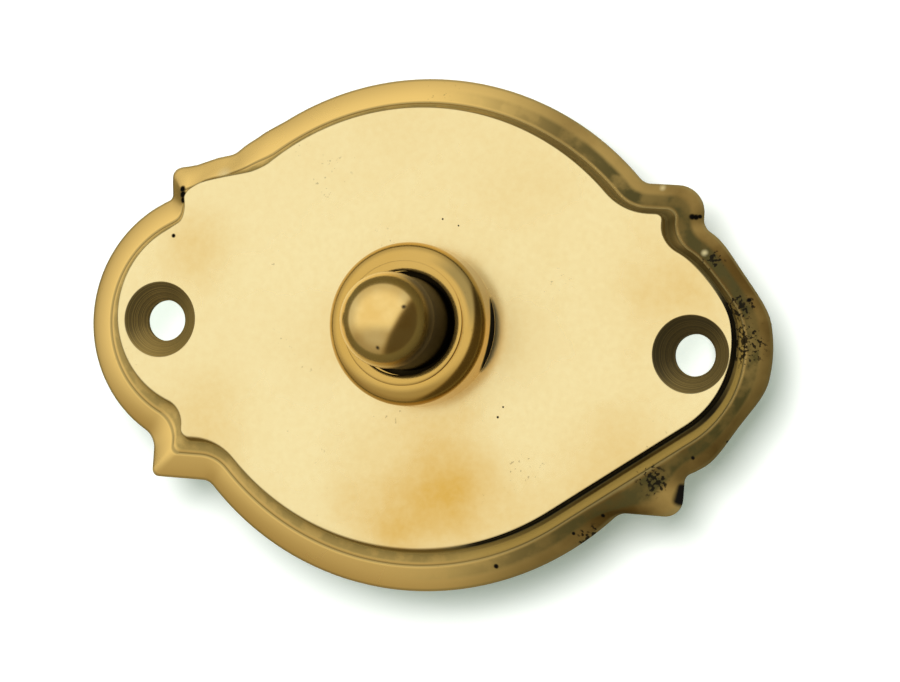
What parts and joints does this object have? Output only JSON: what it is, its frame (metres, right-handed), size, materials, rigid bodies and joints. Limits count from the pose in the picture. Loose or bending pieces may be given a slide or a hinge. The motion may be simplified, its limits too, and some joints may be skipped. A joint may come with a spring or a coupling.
{
  "type": "doorbell push",
  "caption": "Cast brass bell push: cartouche plate with moulded rim, domed sprung button in a round boss, countersunk fixing holes and a contact block behind.",
  "frame": {"origin": "centre of the contact block's flat back, on the axis of the push", "axes": "+X along the plate and its row of screw holes, +Y across the plate, +Z out of the face, the way the push points"},
  "size_m": [0.0761, 0.0546, 0.0319],
  "materials": {
    "cast_brass": "polished",
    "turned_brass": "polished",
    "contact_brass": "satin",
    "contact_silver": "satin",
    "spring_steel": "satin",
    "block_resin": "semi-gloss",
    "tip_ebonite": "matt",
    "disc_fibre": "matt"
  },
  "bodies": {
    "plate_assembly": {"push_plate": "cast_brass", "return_spring": "spring_steel", "insulating_disc": "disc_fibre", "contact_block": "block_resin", "moving_contact": "contact_brass", "fixed_contact": "contact_brass", "fixed_contact_point": "contact_silver", "terminal_screw_left": "contact_brass", "terminal_screw_right": "contact_brass", "terminal_washer_left": "contact_brass", "terminal_washer_right": "contact_brass", "terminal_nut_left": "contact_brass", "terminal_nut_right": "contact_brass", "block_screw_upper": "spring_steel", "block_screw_lower": "spring_steel", "spring_washer_upper": "spring_steel", "spring_washer_lower": "spring_steel"},
    "push": {"push_button": "turned_brass", "button_tip": "tip_ebonite", "moving_contact_point": "contact_silver"}
  },
  "joints": [
    {"name": "push_travel", "type": "slide", "parent": "plate_assembly", "child": "push", "axis": [0, 0, -1], "range_m": [0, 0.00225], "stiffness_N_per_m": 900, "springref_m": -0.0012, "deforming": ["return_spring", "moving_contact"]}
  ]
}
